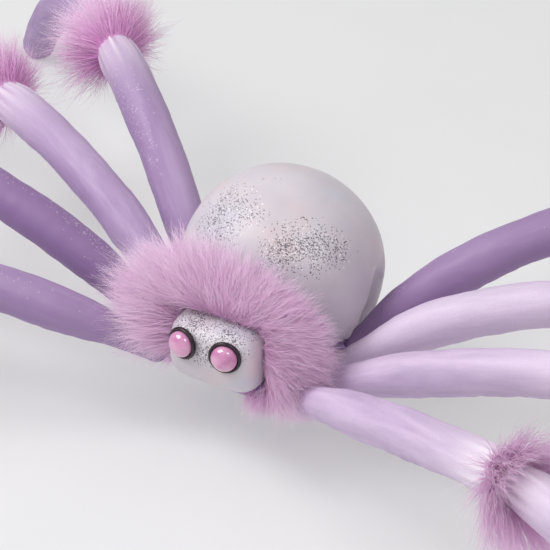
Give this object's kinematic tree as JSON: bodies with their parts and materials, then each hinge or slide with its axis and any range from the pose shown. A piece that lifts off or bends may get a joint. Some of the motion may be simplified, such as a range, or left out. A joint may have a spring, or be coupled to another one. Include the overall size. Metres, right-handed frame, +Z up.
{
  "type": "poseable plush spider",
  "caption": "A stuffed plush spider with a ball abdomen, button eyes, a fur collar and eight wire-cored velvet legs that swing, lift and bend at furry knees.",
  "frame": {"origin": "middle of the footprint on the floor, under the body", "axes": "+X the spider's left, -Y the way the head faces, +Z up"},
  "size_m": [1.0044, 0.5772, 0.1839],
  "materials": {
    "pearl_fabric": "pearly speckled knit with a foil sheen",
    "velvet": "lavender velvet with a silky sheen",
    "fur": "long-pile pink faux fur",
    "filling": "white polyester filling",
    "armature_wire": "bare drawn wire",
    "eye_pink": "glossy pink dome",
    "eye_black": "glossy near-black",
    "washer_plastic": "natural white"
  },
  "bodies": {
    "body": {"abdomen_cover": "pearl_fabric", "abdomen_filling": "filling", "right_eye_rim": "eye_black", "right_eye_dome": "eye_pink", "right_eye_washer": "washer_plastic", "left_eye_rim": "eye_black", "left_eye_dome": "eye_pink", "left_eye_washer": "washer_plastic", "head_cover": "pearl_fabric", "head_filling": "filling", "thorax_pad": "velvet", "fur_collar": "fur"},
    "right_rear_hip": {"right_rear_hip_wire": "armature_wire"},
    "right_rear_upper": {"right_rear_upper_sleeve": "velvet", "right_rear_upper_wire": "armature_wire", "right_rear_knee_fur": "fur"},
    "right_rear_lower": {"right_rear_lower_sleeve": "velvet", "right_rear_lower_wire": "armature_wire"},
    "right_mid_rear_hip": {"right_mid_rear_hip_wire": "armature_wire"},
    "right_mid_rear_upper": {"right_mid_rear_upper_sleeve": "velvet", "right_mid_rear_upper_wire": "armature_wire", "right_mid_rear_knee_fur": "fur"},
    "right_mid_rear_lower": {"right_mid_rear_lower_sleeve": "velvet", "right_mid_rear_lower_wire": "armature_wire"},
    "right_mid_front_hip": {"right_mid_front_hip_wire": "armature_wire"},
    "right_mid_front_upper": {"right_mid_front_upper_sleeve": "velvet", "right_mid_front_upper_wire": "armature_wire", "right_mid_front_knee_fur": "fur"},
    "right_mid_front_lower": {"right_mid_front_lower_sleeve": "velvet", "right_mid_front_lower_wire": "armature_wire"},
    "right_front_hip": {"right_front_hip_wire": "armature_wire"},
    "right_front_upper": {"right_front_upper_sleeve": "velvet", "right_front_upper_wire": "armature_wire", "right_front_knee_fur": "fur"},
    "right_front_lower": {"right_front_lower_sleeve": "velvet", "right_front_lower_wire": "armature_wire"},
    "left_rear_hip": {"left_rear_hip_wire": "armature_wire"},
    "left_rear_upper": {"left_rear_upper_sleeve": "velvet", "left_rear_upper_wire": "armature_wire", "left_rear_knee_fur": "fur"},
    "left_rear_lower": {"left_rear_lower_sleeve": "velvet", "left_rear_lower_wire": "armature_wire"},
    "left_mid_rear_hip": {"left_mid_rear_hip_wire": "armature_wire"},
    "left_mid_rear_upper": {"left_mid_rear_upper_sleeve": "velvet", "left_mid_rear_upper_wire": "armature_wire", "left_mid_rear_knee_fur": "fur"},
    "left_mid_rear_lower": {"left_mid_rear_lower_sleeve": "velvet", "left_mid_rear_lower_wire": "armature_wire"},
    "left_mid_front_hip": {"left_mid_front_hip_wire": "armature_wire"},
    "left_mid_front_upper": {"left_mid_front_upper_sleeve": "velvet", "left_mid_front_upper_wire": "armature_wire", "left_mid_front_knee_fur": "fur"},
    "left_mid_front_lower": {"left_mid_front_lower_sleeve": "velvet", "left_mid_front_lower_wire": "armature_wire"},
    "left_front_hip": {"left_front_hip_wire": "armature_wire"},
    "left_front_upper": {"left_front_upper_sleeve": "velvet", "left_front_upper_wire": "armature_wire", "left_front_knee_fur": "fur"},
    "left_front_lower": {"left_front_lower_sleeve": "velvet", "left_front_lower_wire": "armature_wire"}
  },
  "joints": [
    {"name": "right_rear_swing", "type": "hinge", "parent": "body", "child": "right_rear_hip", "pos_m": [-0.05645, -0.02017, 0.062], "axis": [0, 0, 1], "range_deg": [-5, 5]},
    {"name": "right_rear_lift", "type": "hinge", "parent": "right_rear_hip", "child": "right_rear_upper", "pos_m": [-0.05645, -0.02017, 0.062], "axis": [0.6626, 0.749, 0], "range_deg": [-25, 20]},
    {"name": "right_rear_knee", "type": "hinge", "parent": "right_rear_upper", "child": "right_rear_lower", "pos_m": [-0.22375, 0.12784, 0.137], "axis": [-0.6626, -0.749, 0], "range_deg": [-30, 45]},
    {"name": "right_mid_rear_swing", "type": "hinge", "parent": "body", "child": "right_mid_rear_hip", "pos_m": [-0.06045, -0.04417, 0.062], "axis": [0, 0, 1], "range_deg": [-5, 5]},
    {"name": "right_mid_rear_lift", "type": "hinge", "parent": "right_mid_rear_hip", "child": "right_mid_rear_upper", "pos_m": [-0.06045, -0.04417, 0.062], "axis": [0.3987, 0.9171, 0], "range_deg": [-25, 20]},
    {"name": "right_mid_rear_knee", "type": "hinge", "parent": "right_mid_rear_upper", "child": "right_mid_rear_lower", "pos_m": [-0.26867, 0.04636, 0.125], "axis": [-0.3987, -0.9171, 0], "range_deg": [-30, 45]},
    {"name": "right_mid_front_swing", "type": "hinge", "parent": "body", "child": "right_mid_front_hip", "pos_m": [-0.06045, -0.06817, 0.062], "axis": [0, 0, 1], "range_deg": [-5, 5]},
    {"name": "right_mid_front_lift", "type": "hinge", "parent": "right_mid_front_hip", "child": "right_mid_front_upper", "pos_m": [-0.06045, -0.06817, 0.062], "axis": [-0.0174, 0.9998, 0], "range_deg": [-25, 20]},
    {"name": "right_mid_front_knee", "type": "hinge", "parent": "right_mid_front_upper", "child": "right_mid_front_lower", "pos_m": [-0.28072, -0.07202, 0.148], "axis": [0.0174, -0.9998, 0], "range_deg": [-30, 45]},
    {"name": "right_front_swing", "type": "hinge", "parent": "body", "child": "right_front_hip", "pos_m": [-0.05345, -0.09017, 0.062], "axis": [0, 0, 1], "range_deg": [-5, 5]},
    {"name": "right_front_lift", "type": "hinge", "parent": "right_front_hip", "child": "right_front_upper", "pos_m": [-0.05345, -0.09017, 0.062], "axis": [-0.3827, 0.9239, 0], "range_deg": [-25, 20]},
    {"name": "right_front_knee", "type": "hinge", "parent": "right_front_upper", "child": "right_front_lower", "pos_m": [-0.26438, -0.17754, 0.135], "axis": [0.3827, -0.9239, 0], "range_deg": [-30, 45]},
    {"name": "left_rear_swing", "type": "hinge", "parent": "body", "child": "left_rear_hip", "pos_m": [0.06355, -0.02017, 0.062], "axis": [0, 0, -1], "range_deg": [-5, 5]},
    {"name": "left_rear_lift", "type": "hinge", "parent": "left_rear_hip", "child": "left_rear_upper", "pos_m": [0.06355, -0.02017, 0.062], "axis": [0.6225, -0.7826, 0], "range_deg": [-25, 20]},
    {"name": "left_rear_knee", "type": "hinge", "parent": "left_rear_upper", "child": "left_rear_lower", "pos_m": [0.23126, 0.11323, 0.155], "axis": [-0.6225, 0.7826, 0], "range_deg": [-30, 45]},
    {"name": "left_mid_rear_swing", "type": "hinge", "parent": "body", "child": "left_mid_rear_hip", "pos_m": [0.06755, -0.04417, 0.062], "axis": [0, 0, -1], "range_deg": [-5, 5]},
    {"name": "left_mid_rear_lift", "type": "hinge", "parent": "left_mid_rear_hip", "child": "left_mid_rear_upper", "pos_m": [0.06755, -0.04417, 0.062], "axis": [0.309, -0.9511, 0], "range_deg": [-25, 20]},
    {"name": "left_mid_rear_knee", "type": "hinge", "parent": "left_mid_rear_upper", "child": "left_mid_rear_lower", "pos_m": [0.27697, 0.02387, 0.14], "axis": [-0.309, 0.9511, 0], "range_deg": [-30, 45]},
    {"name": "left_mid_front_swing", "type": "hinge", "parent": "body", "child": "left_mid_front_hip", "pos_m": [0.06755, -0.06817, 0.062], "axis": [0, 0, -1], "range_deg": [-5, 5]},
    {"name": "left_mid_front_lift", "type": "hinge", "parent": "left_mid_front_hip", "child": "left_mid_front_upper", "pos_m": [0.06755, -0.06817, 0.062], "axis": [-0.0349, -0.9994, 0], "range_deg": [-25, 20]},
    {"name": "left_mid_front_knee", "type": "hinge", "parent": "left_mid_front_upper", "child": "left_mid_front_lower", "pos_m": [0.28925, -0.07591, 0.152], "axis": [0.0349, 0.9994, 0], "range_deg": [-30, 45]},
    {"name": "left_front_swing", "type": "hinge", "parent": "body", "child": "left_front_hip", "pos_m": [0.06055, -0.09017, 0.062], "axis": [0, 0, -1], "range_deg": [-5, 5]},
    {"name": "left_front_lift", "type": "hinge", "parent": "left_front_hip", "child": "left_front_upper", "pos_m": [0.06055, -0.09017, 0.062], "axis": [-0.4305, -0.9026, 0], "range_deg": [-25, 20]},
    {"name": "left_front_knee", "type": "hinge", "parent": "left_front_upper", "child": "left_front_lower", "pos_m": [0.26553, -0.18794, 0.139], "axis": [0.4305, 0.9026, 0], "range_deg": [-30, 45]}
  ]
}
